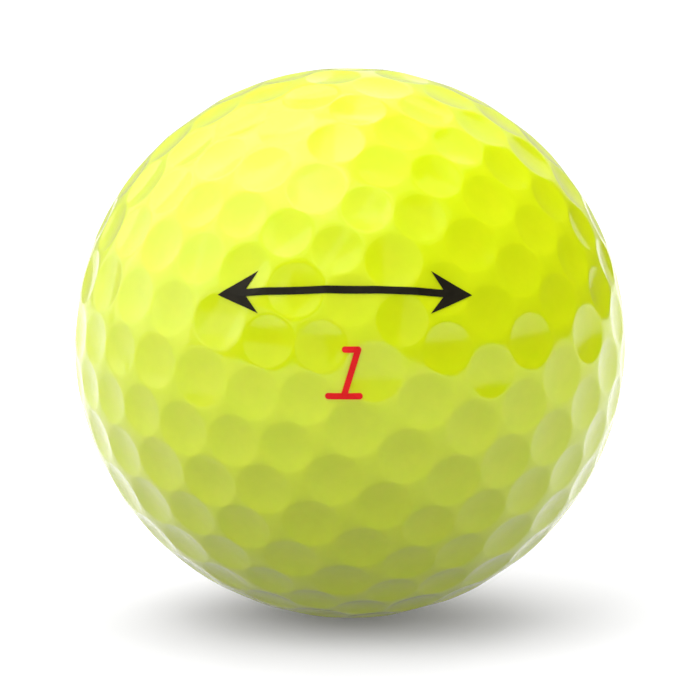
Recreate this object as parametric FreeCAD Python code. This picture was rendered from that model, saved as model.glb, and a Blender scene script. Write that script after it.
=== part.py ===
"""A golf ball as its real layers: dual rubber core, casing layer, dimpled cover and printed marks.

Millimetres and degrees. The origin is the ball's centre and +Z is up. The printed face looks towards -Y
and is tipped up by PRINT_POLE_TILT, which is how the ball lies.
"""

import FreeCAD, Part
import math
import os

# Driving dimensions of the layers
BALL_DIAMETER = 42.67
COVER_THICKNESS = 0.76
CASING_THICKNESS = 1.13
INNER_CORE_DIAMETER = 25.4

# Dimples: a triangular lattice folded over a square dipyramid, then evened out
LATTICE_STEPS = (3, 14)
LATTICE_COLOURS = 3
ROUNDING_SLACK = 1e-9
SAME_DIMPLE = 1e-4
EVENING_PASSES = 160
EVENING_REACH = 3.0
EVENING_RATE = 0.006
EVENING_LARGEST_STEP = 0.04

# Fitting the dimples' sizes to the room between them
LAND_WIDTH = 0.08
DIMPLE_SIZE_STEP = 0.05
FITTING_REACH = 1.5
FIRST_FILL = 0.45
GROWING_PASSES = 300
SETTLING_PASSES = 200
LARGEST_GROWTH = 0.01
SNUG_OVERLAP = 0.01
PUSH_SHARE = 0.3

# One dimple is a shallow spherical bowl. Its cutter runs a little past the rim and stands over it.
DIMPLE_DEPTH_RATIO = 0.072
RIM_OVERRUN = 0.02
PLUG_CREST = 0.25

# How the printed pole and the dimple pattern lie
PRINT_POLE_TILT = 21.0
PRINT_POLE_TURN = -1.2
PATTERN_SPIN = 4.0

# Printed marks
INK_THICKNESS = 0.03
MARK_TILT_FROM_POLE = -3.0
NUMBER_TILT_FROM_POLE = -19.4
ALIGNMENT_LENGTH = 18.6
ALIGNMENT_LINE = 0.56
ALIGNMENT_HEAD = (3.0, 3.2)
STAMP_LENGTH = 12.0
STAMP_LINE = 0.4
STAMP_HEAD = (1.8, 2.0)
HEAD_NOTCH = 0.7
NUMBER_STROKE = 0.46
NUMBER_RISE = 3.4
NUMBER_FOOT = 2.28
NUMBER_FLAG = 0.96
NUMBER_SLANT = 17.0

BALL_RADIUS = BALL_DIAMETER / 2
CASING_RADIUS = BALL_RADIUS - COVER_THICKNESS
OUTER_CORE_RADIUS = CASING_RADIUS - CASING_THICKNESS
INNER_CORE_RADIUS = INNER_CORE_DIAMETER / 2


def vector(x, y, z):
    return FreeCAD.Vector(x, y, z)


ORIGIN = vector(0, 0, 0)
RIGHT = vector(1, 0, 0)
UP = vector(0, 0, 1)
QUARTER_TURN = 90
HALF_TURN = 180
FULL_TURN = 360


def unit(v):
    return v * (1 / v.Length)


def tipped(angle):
    """Turn that tips what faces -Y up by an angle, and then aside as the printed poles are."""
    return FreeCAD.Rotation(UP, PRINT_POLE_TURN).multiply(FreeCAD.Rotation(RIGHT, -angle))


# ---------------------------------------------------------------- dimple layout


def lattice_points():
    """Directions of the dimples on the eight faces of the dipyramid, before they are evened out.

    The lattice is coloured in three. Both poles share one colour, and the dimples are its points.
    """
    p, q = LATTICE_STEPS
    area = p * p + p * q + q * q
    x, y, z = vector(1, 0, 0), vector(0, 1, 0), vector(0, 0, 1)
    upper = [(z, x, y), (z, y, -x), (z, -x, -y), (z, -y, x)]
    lower = [(-z, y, x), (-z, -x, y), (-z, -y, -x), (-z, x, -y)]
    points = []
    span = range(-p - q, p + q + 1)
    for i in span:
        for j in span:
            if (i - j) % LATTICE_COLOURS:
                continue
            toward_second = (i * (p + q) + j * q) / area
            toward_third = (j * p - i * q) / area
            toward_pole = 1 - toward_second - toward_third
            off_the_face = min(toward_pole, toward_second, toward_third) < -ROUNDING_SLACK
            if off_the_face:
                continue
            for pole, second, third in upper + lower:
                place = pole * toward_pole + second * toward_second + third * toward_third
                direction = unit(place)
                if all((direction - other).Length > SAME_DIMPLE for other in points):
                    points.append(direction)
    return points


def lattice_pitch(count):
    """Spacing, as a share of the radius, of that many dimples in triangular packing."""
    return math.sqrt(4 * math.pi / count * 2 / math.sqrt(3))


def neighbours(points, reach):
    near = [[] for _ in points]
    for a in range(len(points)):
        for b in range(a + 1, len(points)):
            if (points[a] - points[b]).Length < reach:
                near[a].append(b)
                near[b].append(a)
    return near


def evened(points):
    """Lets the dimples push each other apart until the lattice is even all over the ball."""
    pitch = lattice_pitch(len(points))
    near = neighbours(points, EVENING_REACH * pitch)
    for _ in range(EVENING_PASSES):
        moved = []
        for index, here in enumerate(points):
            x, y, z = here.x, here.y, here.z
            px = py = pz = 0.0
            for other in near[index]:
                there = points[other]
                dx, dy, dz = x - there.x, y - there.y, z - there.z
                gap = (dx * dx + dy * dy + dz * dz) / (pitch * pitch)
                push = 1 / (gap * gap * gap * pitch)
                px += dx * push
                py += dy * push
                pz += dz * push
            force = vector(px, py, pz)
            force = force - here * force.dot(here)
            cap = EVENING_LARGEST_STEP / max(force.Length * EVENING_RATE, EVENING_LARGEST_STEP)
            moved.append(unit(here + force * (EVENING_RATE * cap * pitch)))
        points = moved
    return points


def pushed_apart(points, radii, near):
    """One small push between every two dimples that are too close, and how tight each dimple sits."""
    shifts = [ORIGIN] * len(points)
    tightness = [-LAND_WIDTH] * len(points)
    for a, around in enumerate(near):
        for b in around:
            apart = points[a] - points[b]
            overlap = radii[a] + radii[b] + LAND_WIDTH - apart.Length * BALL_RADIUS
            tightness[a] = max(tightness[a], overlap)
            if overlap > 0:
                shifts[a] = shifts[a] + unit(apart) * (overlap * PUSH_SHARE / BALL_RADIUS)
    return [unit(point + shift) for point, shift in zip(points, shifts)], tightness


def fitted(points):
    """Grows each dimple while it has room and shrinks it while it has none, then settles the sizes."""
    pitch = lattice_pitch(len(points))
    near = neighbours(points, FITTING_REACH * pitch)
    radii = [FIRST_FILL * pitch * BALL_RADIUS] * len(points)
    for done in range(GROWING_PASSES):
        points, tightness = pushed_apart(points, radii, near)
        change = LARGEST_GROWTH * (1 - done / GROWING_PASSES)
        radii = [r + (change if t < SNUG_OVERLAP else -change) for r, t in zip(radii, tightness)]
    radii = [round(r / DIMPLE_SIZE_STEP) * DIMPLE_SIZE_STEP for r in radii]
    for _ in range(SETTLING_PASSES):
        points, tightness = pushed_apart(points, radii, near)
    return points, radii


def pattern_turn():
    """Turns the pattern so that one of its two-fold axes is the printed pole."""
    face_on = FreeCAD.Rotation(vector(0, -1, 0), vector(0, 0, -1), vector(1, 0, 0), "XYZ")
    spin = FreeCAD.Rotation(vector(0, -1, 0), PATTERN_SPIN)
    return tipped(PRINT_POLE_TILT).multiply(spin).multiply(face_on)


# ---------------------------------------------------------------- the layers


def dimple_plug(radius):
    """The solid that one dimple takes out of the ball, standing on the +Z axis."""
    depth = DIMPLE_DEPTH_RATIO * radius
    rim_height = math.sqrt(BALL_RADIUS**2 - radius**2)
    bowl_radius = (radius**2 + depth**2) / (2 * depth)
    bowl_centre = rim_height - depth + bowl_radius

    def on_bowl(x):
        return vector(x, 0, bowl_centre - math.sqrt(bowl_radius**2 - x**2))

    bottom, halfway, edge = on_bowl(0), on_bowl(radius / 2), on_bowl(radius + RIM_OVERRUN)
    crest = vector(0, 0, BALL_RADIUS + PLUG_CREST)
    bowl = Part.Arc(bottom, halfway, edge).toShape()
    outline = Part.Wire([bowl, Part.makeLine(edge, crest), Part.makeLine(crest, bottom)])
    return Part.Face(outline).revolve(ORIGIN, UP, FULL_TURN)


def dimpled_ball(points, radii):
    turn = pattern_turn()
    plug_of_size = {radius: dimple_plug(radius) for radius in set(radii)}
    plugs = []
    for point, radius in zip(points, radii):
        plug = plug_of_size[radius].copy()
        plug.Placement = FreeCAD.Placement(ORIGIN, FreeCAD.Rotation(UP, turn.multVec(point)))
        plugs.append(plug)
    return Part.makeSphere(BALL_RADIUS).cut(plugs)


def hollow_ball(outer_radius, inner_radius):
    return Part.makeSphere(outer_radius).cut(Part.makeSphere(inner_radius))


# ---------------------------------------------------------------- the printed marks


def drawn(x, z):
    """A point of a stencil. Stencils are drawn square on to -Y, inside the ball."""
    return vector(x, -INNER_CORE_RADIUS, z)


def prism(wire):
    """A stencil's outline carried out through the front of the ball."""
    return Part.Face(wire).extrude(vector(0, INNER_CORE_RADIUS - BALL_DIAMETER, 0))


def arrow_line(length, line, head):
    """Stencil of a straight line with a notched arrowhead at each end."""
    head_length, head_height = head
    tip = length / 2
    barb = tip - head_length
    notch = tip - head_length * HEAD_NOTCH
    right = [(tip, 0), (barb, head_height / 2), (notch, line / 2)]
    left = [(-x, z) for x, z in reversed(right)]
    top = right + left
    bottom = [(x, -z) for x, z in reversed(top[1:-1])]
    corners = [drawn(x, z) for x, z in top + bottom]
    return prism(Part.makePolygon(corners + corners[:1]))


def stroke(start, end):
    """Stencil of one straight stroke of the number, with round ends."""
    half = NUMBER_STROKE / 2
    along = unit(end - start) * half
    across = vector(-along.z, 0, along.x)
    far_end = Part.Arc(end + across, end + along, end - across).toShape()
    near_end = Part.Arc(start - across, start - along, start + across).toShape()
    upper = Part.makeLine(start + across, end + across)
    lower = Part.makeLine(end - across, start - across)
    return prism(Part.Wire([upper, far_end, lower, near_end]))


def slanted_one():
    """Stencil of a slanted number one: a foot, a stem from its middle and a level flag."""
    low, high = -NUMBER_RISE / 2, NUMBER_RISE / 2
    lean = NUMBER_RISE * math.tan(math.radians(NUMBER_SLANT))
    foot = stroke(drawn(-NUMBER_FOOT / 2, low), drawn(NUMBER_FOOT / 2, low))
    stem = stroke(drawn(0, low), drawn(lean, high))
    flag = stroke(drawn(lean - NUMBER_FLAG, high), drawn(lean, high))
    return foot.fuse([stem, flag]).removeSplitter()


def ink(stencil, turn, ball):
    """Ink of one thickness on the ball, inside a stencil that is turned into place."""
    placed = stencil.copy()
    placed.Placement = FreeCAD.Placement(ORIGIN, turn)
    coated = ball.scaled(1 + INK_THICKNESS / BALL_RADIUS, ORIGIN)
    return coated.common(placed).cut(ball)


def printed_marks(ball):
    """A line and a number at each printed pole, and the stamp on the equator, above the front print."""
    line = arrow_line(ALIGNMENT_LENGTH, ALIGNMENT_LINE, ALIGNMENT_HEAD)
    number = slanted_one()
    stamp = arrow_line(STAMP_LENGTH, STAMP_LINE, STAMP_HEAD)
    line_turn = tipped(PRINT_POLE_TILT + MARK_TILT_FROM_POLE)
    number_turn = tipped(PRINT_POLE_TILT + NUMBER_TILT_FROM_POLE)
    stamp_turn = tipped(PRINT_POLE_TILT + QUARTER_TURN)
    top_of_print = tipped(PRINT_POLE_TILT).multVec(UP)
    rear = FreeCAD.Rotation(top_of_print, HALF_TURN)
    return {
        "front_alignment_mark": ink(line, line_turn, ball),
        "front_play_number": ink(number, number_turn, ball),
        "rear_alignment_mark": ink(line, rear.multiply(line_turn), ball),
        "rear_play_number": ink(number, rear.multiply(number_turn), ball),
        "side_alignment_stamp": ink(stamp, stamp_turn, ball),
    }


def build():
    points, radii = fitted(evened(lattice_points()))
    ball = dimpled_ball(points, radii)
    parts = {
        "inner_core": Part.makeSphere(INNER_CORE_RADIUS),
        "outer_core": hollow_ball(OUTER_CORE_RADIUS, INNER_CORE_RADIUS),
        "casing_layer": hollow_ball(CASING_RADIUS, OUTER_CORE_RADIUS),
        "cover": ball.cut(Part.makeSphere(CASING_RADIUS)),
    }
    parts.update(printed_marks(ball))
    os.makedirs("parts", exist_ok=True)
    for name, shape in parts.items():
        shape.exportStep("parts/" + name + ".step")
        print(name, len(shape.Solids), "solids", round(shape.Volume, 2), "mm3", shape.isValid())


build()
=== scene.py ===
import math

import bmesh
import bpy
import numpy as np
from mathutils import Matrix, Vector


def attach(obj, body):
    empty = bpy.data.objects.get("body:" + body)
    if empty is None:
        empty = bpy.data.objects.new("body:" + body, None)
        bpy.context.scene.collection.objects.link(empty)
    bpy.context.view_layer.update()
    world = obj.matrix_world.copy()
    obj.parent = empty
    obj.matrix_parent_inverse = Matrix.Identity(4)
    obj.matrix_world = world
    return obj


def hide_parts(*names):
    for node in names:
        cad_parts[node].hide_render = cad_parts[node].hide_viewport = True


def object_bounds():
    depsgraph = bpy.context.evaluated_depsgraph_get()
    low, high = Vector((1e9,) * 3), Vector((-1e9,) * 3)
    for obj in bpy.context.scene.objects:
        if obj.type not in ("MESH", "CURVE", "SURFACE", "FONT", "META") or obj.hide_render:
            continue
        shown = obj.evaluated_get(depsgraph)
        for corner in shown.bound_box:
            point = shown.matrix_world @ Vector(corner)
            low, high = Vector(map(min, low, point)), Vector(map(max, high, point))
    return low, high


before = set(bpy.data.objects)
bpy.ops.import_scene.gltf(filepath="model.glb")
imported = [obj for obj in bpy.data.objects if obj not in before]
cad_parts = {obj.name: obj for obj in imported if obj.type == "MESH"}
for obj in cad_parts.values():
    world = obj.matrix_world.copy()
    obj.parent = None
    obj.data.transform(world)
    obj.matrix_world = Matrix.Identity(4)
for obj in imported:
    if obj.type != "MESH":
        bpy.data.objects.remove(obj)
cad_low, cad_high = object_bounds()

MM = 0.001

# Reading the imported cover, in millimetres: what counts as off the ball, and what counts as on it
OFF_THE_BALL = 0.02
ON_THE_BALL = 2e-5

# Cover surface: how far the edges of the bowls are rounded, in millimetres
RIM_SOFTNESS = 0.02

# Its mesh: rings as shares of a bowl, rings this far inside the rim and points this far apart round it,
# in millimetres
BOWL_RINGS = (0.3, 0.58, 0.8)
RIM_BANDS = (0.24, 0.11, 0.0)
CELL_EDGE_STEP = 0.42
INSIDE_SUBDIVISIONS = 5
DIRECTIONS_AT_ONCE = 4096

# Surface detail. Most noise values lie between the quiet one and the loud one.
MICROMETRE = 1e-6
NOISE_DETAIL = 3.0
QUIET_NOISE = 0.3
LOUD_NOISE = 0.7
FLECK_NOISE = 0.66
FLECK_EDGE = 0.04

# Camera: its distance in ball radii, the ball's width and its rise above the middle as shares of the frame
CAMERA_ELEVATION = 7.5
CAMERA_DISTANCE = 15.0
SENSOR_WIDTH = 36.0
BALL_SHARE = 0.7866
RISE_SHARE = 0.0103

# Studio, in metres. The glow is brightness by height, from straight down at 0 to straight up at 1.
FLOOR_REACH = 6.0
FLOOR_PALENESS = 0.95
LIGHT_DISTANCE = 1.0
WORLD_GLOW = ((0.0, 0.0), (0.3, 0.3), (0.48, 1.8), (0.54, 0.5), (1.0, 0.87))

# Name, azimuth, elevation, width, height and brightness of what lights the matt surfaces
SOFTBOXES = (
    ("top_softbox", 0, 90, 1.0, 1.0, 0.35),
    ("back_softbox", 180, 52, 1.2, 1.0, 1.3),
    ("left_softbox", -90, 48, 0.8, 1.2, 0.35),
    ("front_left_softbox", -45, 46, 0.9, 1.0, 1.45),
    ("right_softbox", 80, 48, 0.8, 1.2, 0.45),
)

# The same for what shows in the gloss, where cards that overlap add up
CARDS = (
    ("left_card", -92, 42, 1.1, 1.9, 1.1),
    ("wide_left_card", -95, 45, 2.2, 2.0, 0.8),
    ("front_left_card", -45, 46, 1.1, 1.5, 0.65),
    ("front_card", 3, 36, 0.7, 1.45, 0.4),
    ("back_left_card", -150, 30, 1.3, 1.2, 0.45),
    ("back_top_card", 180, 70, 1.3, 0.7, 0.5),
    ("top_card", -60, 82, 0.9, 0.9, 0.4),
    ("front_right_card", 30, 68, 0.8, 0.7, 0.25),
    ("back_right_card", 163, 25, 0.6, 1.2, 0.5),
)

cad_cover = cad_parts["cover"]


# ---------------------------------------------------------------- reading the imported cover


def vertex_array(mesh):
    flat = np.empty(len(mesh.vertices) * 3)
    mesh.vertices.foreach_get("co", flat)
    return flat.reshape(-1, 3)


def island_labels(mesh):
    """For each vertex, the lowest vertex number of the connected part that it is in."""
    ends = np.empty(len(mesh.edges) * 2, np.int32)
    mesh.edges.foreach_get("vertices", ends)
    first, second = ends.reshape(-1, 2).T
    labels = np.arange(len(mesh.vertices))
    while True:
        lowest = np.minimum(labels[first], labels[second])
        updated = labels.copy()
        np.minimum.at(updated, first, lowest)
        np.minimum.at(updated, second, lowest)
        updated = updated[updated]
        if np.array_equal(updated, labels):
            return labels
        labels = updated


def read_dimples(mesh):
    """Axis, rim angle and bottom radius of each dimple, and the radii of the ball and of its inside.

    Each dimple is one bowl-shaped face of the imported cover, and so one island of its mesh. Its rim lies
    on the ball and in one plane, whose normal is the dimple's axis.
    """
    points = vertex_array(mesh)
    radii = np.linalg.norm(points, axis=1)
    labels = island_labels(mesh)
    ball, inside = radii.max(), radii.min()
    off_the_ball = ball - OFF_THE_BALL * MM
    on_the_ball = ball - ON_THE_BALL * MM
    axes, rims, bottoms = [], [], []
    for label in np.unique(labels):
        member = labels == label
        lowest, highest = radii[member].min(), radii[member].max()
        if lowest > off_the_ball or highest < off_the_ball:
            continue
        island = points[member]
        rim = island[radii[member] > on_the_ball]
        plane = np.linalg.lstsq(rim, np.ones(len(rim)), rcond=None)[0]
        axis = plane / np.linalg.norm(plane)
        axes.append(axis)
        rims.append(math.acos(1 / (np.linalg.norm(plane) * ball)))
        bottoms.append((island @ axis).min())
    return np.array(axes), np.array(rims), np.array(bottoms), ball, inside


axes, rims, bottoms, BALL, INSIDE = read_dimples(cad_cover.data)

rim_heights = BALL * np.cos(rims)
rim_radii = BALL * np.sin(rims)
depths = rim_heights - bottoms
bowl_radii = (rim_radii**2 + depths**2) / (2 * depths)
bowl_centres = axes * (bottoms + bowl_radii)[:, None]


def surface_radius(directions):
    """How far the cover's surface is from the centre in each direction.

    The surface is the ball cut by every bowl, with the edges between them rounded by a soft minimum.
    """
    softness = RIM_SOFTNESS * MM
    clearance = (bowl_centres**2).sum(axis=1) - bowl_radii**2
    pieces = []
    for some in np.array_split(directions, len(directions) // DIRECTIONS_AT_ONCE + 1):
        along = some @ bowl_centres.T
        under_root = along**2 - clearance
        meets = (under_root > 0) & (along > 0)
        bowl = along - np.sqrt(np.where(meets, under_root, 0))
        pull = np.where(meets, np.exp((BALL - bowl) / softness), 0)
        pieces.append(BALL - softness * np.log1p(pull.sum(axis=1)))
    return np.concatenate(pieces)


# ---------------------------------------------------------------- cover


def unit_rows(rows):
    return rows / np.linalg.norm(rows, axis=-1, keepdims=True)


def polar(axis, directions):
    """Turn about an axis, angle from it and sideways unit vector of some directions."""
    start = unit_rows(np.cross(axis, np.eye(3)[np.argmin(np.abs(axis))]))
    side = np.cross(axis, start)
    x, y = directions @ start, directions @ side
    sideways = unit_rows(x[:, None] * start + y[:, None] * side)
    return np.arctan2(y, x), np.arctan2(np.hypot(x, y), directions @ axis), sideways


def cell_corners():
    """Splits the ball into one cell for each dimple, which meet halfway along the lands.

    Returns the corner directions, and for each dimple its corners' numbers in turning order. The corners
    are the face normals of the hull of the axes, each stretched by its rim.
    """
    hull = bmesh.new()
    for axis, rim in zip(axes, rims):
        hull.verts.new(axis / math.cos(rim))
    bmesh.ops.convex_hull(hull, input=hull.verts)
    hull.normal_update()
    hull.faces.ensure_lookup_table()
    hull.faces.index_update()
    corners = unit_rows(np.array([face.normal for face in hull.faces]))
    centres = np.array([face.calc_center_median() for face in hull.faces])
    corners *= np.sign((corners * centres).sum(axis=1))[:, None]
    cells = []
    hull.verts.ensure_lookup_table()
    for number, axis in enumerate(axes):
        around = [face.index for face in hull.verts[number].link_faces]
        turn = polar(axis, corners[around])[0]
        cells.append([around[k] for k in np.argsort(turn)])
    hull.free()
    return corners, cells


def cover_directions_and_faces():
    """Directions of the outer surface's vertices, and its faces, as rings round each dimple's axis."""
    corners, cells = cell_corners()
    directions = [tuple(corner) for corner in corners]
    edge_points = {}

    def edge(a, b):
        """Vertex numbers from corner a up to corner b, which the two cells on that edge share."""
        key = (min(a, b), max(a, b))
        if key not in edge_points:
            low, high = corners[key[0]], corners[key[1]]
            steps = max(1, round(np.linalg.norm(high - low) * BALL / (CELL_EDGE_STEP * MM)))
            numbers = []
            for step in range(1, steps):
                share = step / steps
                numbers.append(len(directions))
                directions.append(tuple(unit_rows(low * (1 - share) + high * share)))
            edge_points[key] = numbers
        between = edge_points[key]
        return [a] + (between if a == key[0] else between[::-1])

    faces = []
    for axis, rim, cell in zip(axes, rims, cells):
        border = []
        for a, b in zip(cell, cell[1:] + cell[:1]):
            border += edge(a, b)
        _, reach, sideways = polar(axis, np.array([directions[v] for v in border]))
        inner = [np.full(len(border), rim * share) for share in BOWL_RINGS]
        inner += [np.full(len(border), rim - band * MM / BALL) for band in RIM_BANDS]
        inner.append((rim + reach) / 2)
        rings = []
        for angle in inner:
            places = np.cos(angle)[:, None] * axis + np.sin(angle)[:, None] * sideways
            rings.append(list(range(len(directions), len(directions) + len(border))))
            directions.extend(map(tuple, places))
        rings.append(border)
        centre = len(directions)
        directions.append(tuple(axis))
        count = len(border)
        following = [(k + 1) % count for k in range(count)]
        faces += [(centre, rings[0][k], rings[0][n]) for k, n in enumerate(following)]
        for near, far in zip(rings, rings[1:]):
            faces += [(near[k], far[k], far[n], near[n]) for k, n in enumerate(following)]
    return np.array(directions), faces


def new_piece(name, vertices, faces, node):
    mesh = bpy.data.meshes.new(name)
    mesh.from_pydata([tuple(v) for v in vertices], [], faces)
    mesh.validate()
    mesh.shade_smooth()
    piece = bpy.data.objects.new(name, mesh)
    bpy.context.scene.collection.objects.link(piece)
    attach(piece, "root")
    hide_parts(node)
    return piece


def make_cover():
    """Dimpled outside and round inside of the cover, as one shell."""
    directions, faces = cover_directions_and_faces()
    outside = directions * surface_radius(directions)[:, None]
    ball = bmesh.new()
    bmesh.ops.create_icosphere(ball, subdivisions=INSIDE_SUBDIVISIONS, radius=INSIDE)
    inside = np.array([v.co for v in ball.verts])
    first = len(outside)
    faces += [tuple(first + v.index for v in reversed(face.verts)) for face in ball.faces]
    ball.free()
    return new_piece("dimpled_cover", np.concatenate([outside, inside]), faces, "cover")


# ---------------------------------------------------------------- materials


def noise_over(nodes, links, wavelength):
    """Noise that stays on the piece, with waves of this many millimetres."""
    place = nodes.new("ShaderNodeTexCoord")
    noise = nodes.new("ShaderNodeTexNoise")
    noise.inputs["Scale"].default_value = 1 / (wavelength * MM)
    noise.inputs["Detail"].default_value = NOISE_DETAIL
    links.new(place.outputs["Object"], noise.inputs["Vector"])
    return noise.outputs["Fac"]


def varied_material(name, colours, mottle, roughness, grain, relief):
    """Procedural material whose colour, roughness and height all vary over the surface.

    The colours are a ramp from low noise to high. The mottle is the wavelength of the colour and the
    grain that of the roughness and the relief, in millimetres. The relief is in micrometres.
    """
    material = bpy.data.materials.new(name)
    material.use_nodes = True
    nodes, links = material.node_tree.nodes, material.node_tree.links
    shader = nodes["Principled BSDF"]

    ramp = nodes.new("ShaderNodeValToRGB")
    stops = ramp.color_ramp.elements
    for _ in colours[2:]:
        stops.new(0.5)
    for stop, (position, colour) in zip(stops, colours):
        stop.position = position
        stop.color = (*colour, 1)
    links.new(noise_over(nodes, links, mottle), ramp.inputs["Fac"])
    links.new(ramp.outputs["Color"], shader.inputs["Base Color"])

    fine = noise_over(nodes, links, grain)
    rough = nodes.new("ShaderNodeMapRange")
    rough.inputs["From Min"].default_value = QUIET_NOISE
    rough.inputs["From Max"].default_value = LOUD_NOISE
    rough.inputs["To Min"].default_value = roughness[0]
    rough.inputs["To Max"].default_value = roughness[1]
    links.new(fine, rough.inputs["Value"])
    links.new(rough.outputs["Result"], shader.inputs["Roughness"])

    bump = nodes.new("ShaderNodeBump")
    bump.inputs["Distance"].default_value = relief * MICROMETRE
    links.new(fine, bump.inputs["Height"])
    links.new(bump.outputs["Normal"], shader.inputs["Normal"])
    links.new(bump.outputs["Normal"], shader.inputs["Coat Normal"])
    return material, shader.inputs


def cover_material():
    """Cast urethane that light sinks into a little, under a clear coat."""
    yellows = ((QUIET_NOISE, (0.745, 0.91, 0.003)), (LOUD_NOISE, (0.785, 0.95, 0.005)))
    material, look = varied_material(
        "fluorescent_urethane", yellows, mottle=1.6, roughness=(0.36, 0.46), grain=0.35, relief=2.0
    )
    look["Specular IOR Level"].default_value = 0.1
    look["Coat Weight"].default_value = 1.0
    look["Coat Roughness"].default_value = 0.1
    look["Coat IOR"].default_value = 1.5
    look["Subsurface Weight"].default_value = 0.8
    look["Subsurface Scale"].default_value = 0.9 * MM
    look["Subsurface Radius"].default_value = (1.0, 0.9, 0.3)
    return material


def ink_material(name, thin, full):
    """Pad-printed ink, a little uneven from thin to full."""
    inks = ((QUIET_NOISE, thin), (LOUD_NOISE, full))
    material, look = varied_material(
        name, inks, mottle=0.6, roughness=(0.42, 0.6), grain=0.15, relief=1.0
    )
    look["Specular IOR Level"].default_value = 0.15
    return material


def casing_material():
    """Moulded ionomer, pale and a little see-through."""
    creams = ((QUIET_NOISE, (0.83, 0.82, 0.75)), (LOUD_NOISE, (0.89, 0.88, 0.84)))
    material, look = varied_material(
        "casing_ionomer", creams, mottle=3.0, roughness=(0.3, 0.45), grain=0.4, relief=3.0
    )
    look["Subsurface Weight"].default_value = 0.4
    look["Subsurface Scale"].default_value = 1.0 * MM
    return material


def rubber_material(name, dark, light, fleck):
    """Ground rubber with flecks of the reground scrap that is mixed into it."""
    rubbers = ((QUIET_NOISE, dark), (FLECK_NOISE - FLECK_EDGE, light), (FLECK_NOISE, fleck))
    material, look = varied_material(
        name, rubbers, mottle=0.8, roughness=(0.7, 0.92), grain=0.25, relief=14.0
    )
    look["Specular IOR Level"].default_value = 0.3
    return material


def paint(thing, material):
    thing.data.materials.clear()
    thing.data.materials.append(material)


def paint_nodes(names, material):
    for name in names:
        paint(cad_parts[name], material)


# ---------------------------------------------------------------- studio


def look_from(azimuth, elevation):
    """Direction from the ball towards a place. Azimuth 0 is in front, and +90 is on the right."""
    a, e = math.radians(azimuth), math.radians(elevation)
    return Vector((math.sin(a) * math.cos(e), -math.cos(a) * math.cos(e), math.sin(e)))


def add_panel(name, azimuth, elevation, width, height, radiance):
    """A lit rectangle that faces the ball. Its power comes from the brightness that its face shows."""
    lamp = bpy.data.lights.new(name, "AREA")
    lamp.shape = "RECTANGLE"
    lamp.size, lamp.size_y = width, height
    lamp.energy = radiance * math.pi * width * height
    panel = bpy.data.objects.new(name, lamp)
    away = look_from(azimuth, elevation)
    panel.location = away * LIGHT_DISTANCE
    panel.rotation_mode = "QUATERNION"
    panel.rotation_quaternion = away.to_track_quat("Z", "Y")
    panel.visible_camera = False
    bpy.context.scene.collection.objects.link(panel)
    return panel


def make_floor():
    mesh = bpy.data.meshes.new("floor")
    z = cad_low.z
    r = FLOOR_REACH
    mesh.from_pydata([(-r, -r, z), (r, -r, z), (r, r, z), (-r, r, z)], [], [(0, 1, 2, 3)])
    floor = bpy.data.objects.new("floor", mesh)
    bpy.context.scene.collection.objects.link(floor)
    floor.visible_diffuse = False
    material = bpy.data.materials.new("pale_floor")
    material.use_nodes = True
    look = material.node_tree.nodes["Principled BSDF"].inputs
    look["Base Color"].default_value = (FLOOR_PALENESS, FLOOR_PALENESS, FLOOR_PALENESS, 1)
    look["Roughness"].default_value = 0.9
    look["Specular IOR Level"].default_value = 0.0
    paint(floor, material)


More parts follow.
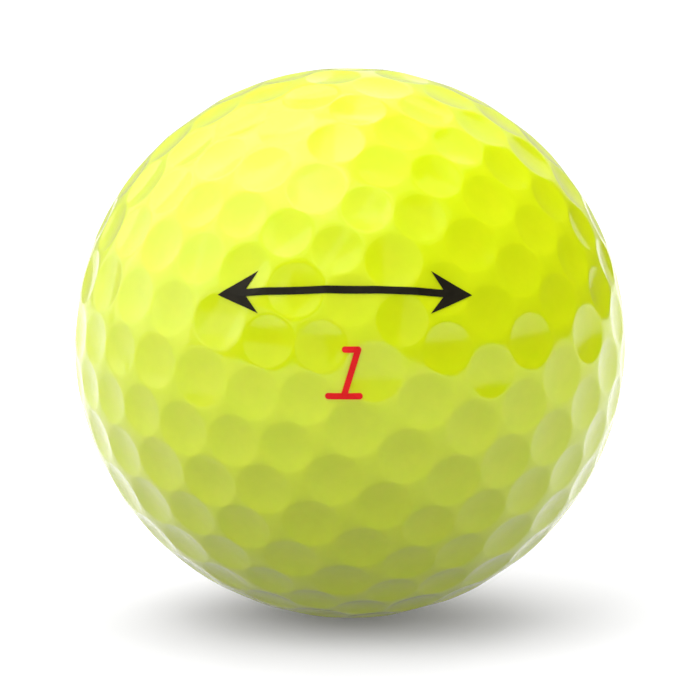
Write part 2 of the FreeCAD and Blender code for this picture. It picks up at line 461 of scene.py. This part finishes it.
def make_lights():
    for panel in SOFTBOXES:
        add_panel(*panel).visible_glossy = False
    for panel in CARDS:
        add_panel(*panel).visible_diffuse = False
    world = bpy.data.worlds.new("studio")
    world.use_nodes = True
    nodes, links = world.node_tree.nodes, world.node_tree.links
    place = nodes.new("ShaderNodeTexCoord")
    split = nodes.new("ShaderNodeSeparateXYZ")
    height = nodes.new("ShaderNodeMapRange")
    height.inputs["From Min"].default_value = -1
    ramp = nodes.new("ShaderNodeValToRGB")
    stops = ramp.color_ramp.elements
    for height_share, _ in WORLD_GLOW[1:-1]:
        stops.new(height_share)
    for stop, (_, glow) in zip(stops, WORLD_GLOW):
        stop.color = (glow, glow, glow, 1)
    links.new(place.outputs["Generated"], split.inputs["Vector"])
    links.new(split.outputs["Z"], height.inputs["Value"])
    links.new(height.outputs["Result"], ramp.inputs["Fac"])
    links.new(ramp.outputs["Color"], nodes["Background"].inputs["Color"])
    world.cycles_visibility.glossy = False
    bpy.context.scene.world = world


def make_camera():
    camera = bpy.data.cameras.new("camera")
    camera.sensor_width = SENSOR_WIDTH
    distance = CAMERA_DISTANCE * BALL
    limb = math.tan(math.asin(1 / CAMERA_DISTANCE))
    frame_width = 2 * limb / BALL_SHARE
    camera.lens = SENSOR_WIDTH / frame_width
    camera.clip_start = BALL
    camera.clip_end = 2 * FLOOR_REACH
    holder = bpy.data.objects.new("camera", camera)
    away = look_from(0, CAMERA_ELEVATION)
    holder.location = away * distance
    holder.rotation_mode = "QUATERNION"
    target = Vector((0, 0, -RISE_SHARE * frame_width * distance))
    holder.rotation_quaternion = (target - holder.location).to_track_quat("-Z", "Y")
    bpy.context.scene.collection.objects.link(holder)
    bpy.context.scene.camera = holder


cover = make_cover()
paint(cover, cover_material())
cover.visible_diffuse = False
black_print = ink_material("black_print", (0.015, 0.012, 0.005), (0.010, 0.008, 0.003))
red_print = ink_material("red_print", (0.90, 0.012, 0.014), (0.82, 0.008, 0.010))
paint_nodes(("front_alignment_mark", "rear_alignment_mark", "side_alignment_stamp"), black_print)
paint_nodes(("front_play_number", "rear_play_number"), red_print)
paint_nodes(("casing_layer",), casing_material())
blue_rubber = rubber_material("outer_core_rubber", (0.08, 0.19, 0.36), (0.12, 0.25, 0.44), (0.45, 0.50, 0.55))
red_rubber = rubber_material("inner_core_rubber", (0.50, 0.14, 0.08), (0.60, 0.19, 0.12), (0.30, 0.06, 0.05))
paint_nodes(("outer_core",), blue_rubber)
paint_nodes(("inner_core",), red_rubber)

make_floor()
make_lights()
make_camera()
bpy.context.scene.view_settings.view_transform = "Standard"
